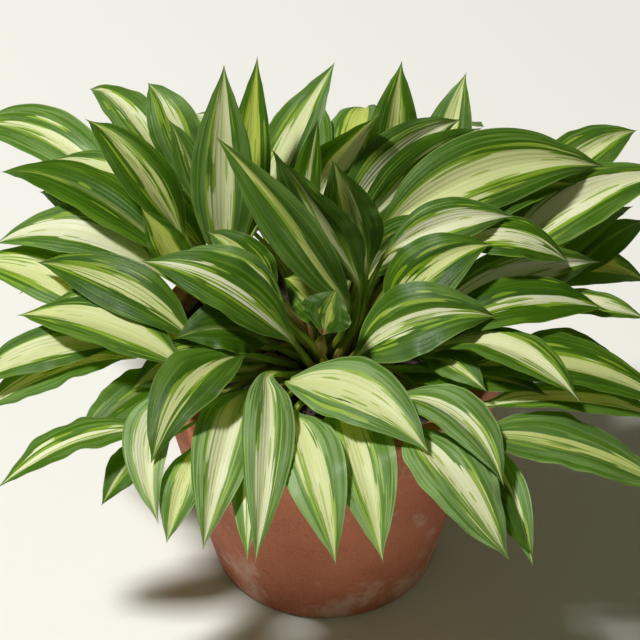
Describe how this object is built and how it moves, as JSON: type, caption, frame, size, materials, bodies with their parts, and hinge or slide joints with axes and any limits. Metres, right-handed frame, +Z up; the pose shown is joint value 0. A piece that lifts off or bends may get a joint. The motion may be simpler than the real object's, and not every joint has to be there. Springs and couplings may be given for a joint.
{
  "type": "potted hosta plant",
  "caption": "Leafy hosta in a plain clay pot: a low, wide clump of lance-shaped leaves on channelled stalks, rising from soil; decorative patio plant.",
  "frame": {"origin": "middle of the pot's underside, on the floor it stands on", "axes": "+Z up, +X to the right in the picture's view, +Y away from that view"},
  "size_m": [0.7562, 0.6402, 0.5495],
  "materials": {
    "pot": "matte",
    "soil": "matte",
    "foliage": "satin"
  },
  "bodies": {
    "root": {"pot": "pot", "soil": "soil", "leaves_right_4_and_right_12": "foliage", "leaves_right_16_and_right_18": "foliage", "leaves_back_13_and_centre_5": "foliage", "leaves_left_6_and_left_3": "foliage", "leaves_front_7_and_front_8": "foliage", "leaves_front_4_and_front_5": "foliage", "leaves_right_10_and_right_2": "foliage", "leaves_left_10_and_back_8": "foliage", "leaves_front_10_and_right_1": "foliage", "leaves_back_12_and_back_4": "foliage", "leaves_back_15_and_centre_3": "foliage", "leaves_right_19_and_right_13": "foliage", "leaves_back_10_and_right_14": "foliage", "leaves_left_15_and_centre_11": "foliage", "leaves_left_13_and_left_17": "foliage", "leaves_centre_16_and_right_20": "foliage", "leaves_left_14_and_centre_9": "foliage", "leaves_left_4_and_left_11": "foliage", "leaves_back_11_and_back_3": "foliage", "leaves_left_9_and_front_12": "foliage", "leaves_back_16_and_left_12": "foliage", "leaves_right_15_and_right_7": "foliage", "leaves_front_11_and_front_15": "foliage", "leaves_left_2_and_front_6": "foliage", "leaves_right_8_and_right_11": "foliage", "leaves_front_13_and_right_21": "foliage", "leaves_centre_14_and_centre_12": "foliage", "leaves_back_14_and_centre_4": "foliage", "leaves_left_5_and_centre_10": "foliage", "leaves_centre_15_and_centre_8": "foliage", "leaf_front_1": "foliage", "leaf_front_2": "foliage", "leaf_front_3": "foliage", "leaf_left_1": "foliage", "leaf_back_1": "foliage", "leaf_back_2": "foliage", "leaf_back_5": "foliage", "leaf_back_6": "foliage", "leaf_back_7": "foliage", "leaf_front_9": "foliage", "leaf_right_3": "foliage", "leaf_right_5": "foliage", "leaf_back_9": "foliage", "leaf_left_7": "foliage", "leaf_left_8": "foliage", "leaf_centre_1": "foliage", "leaf_right_6": "foliage", "leaf_right_9": "foliage", "leaf_front_14": "foliage", "leaf_centre_2": "foliage", "leaf_front_16": "foliage", "leaf_centre_6": "foliage", "leaf_centre_7": "foliage", "leaf_left_16": "foliage", "leaf_right_17": "foliage", "leaf_centre_17": "foliage", "leaf_centre_13": "foliage", "leaf_centre_18": "foliage"}
  },
  "joints": []
}
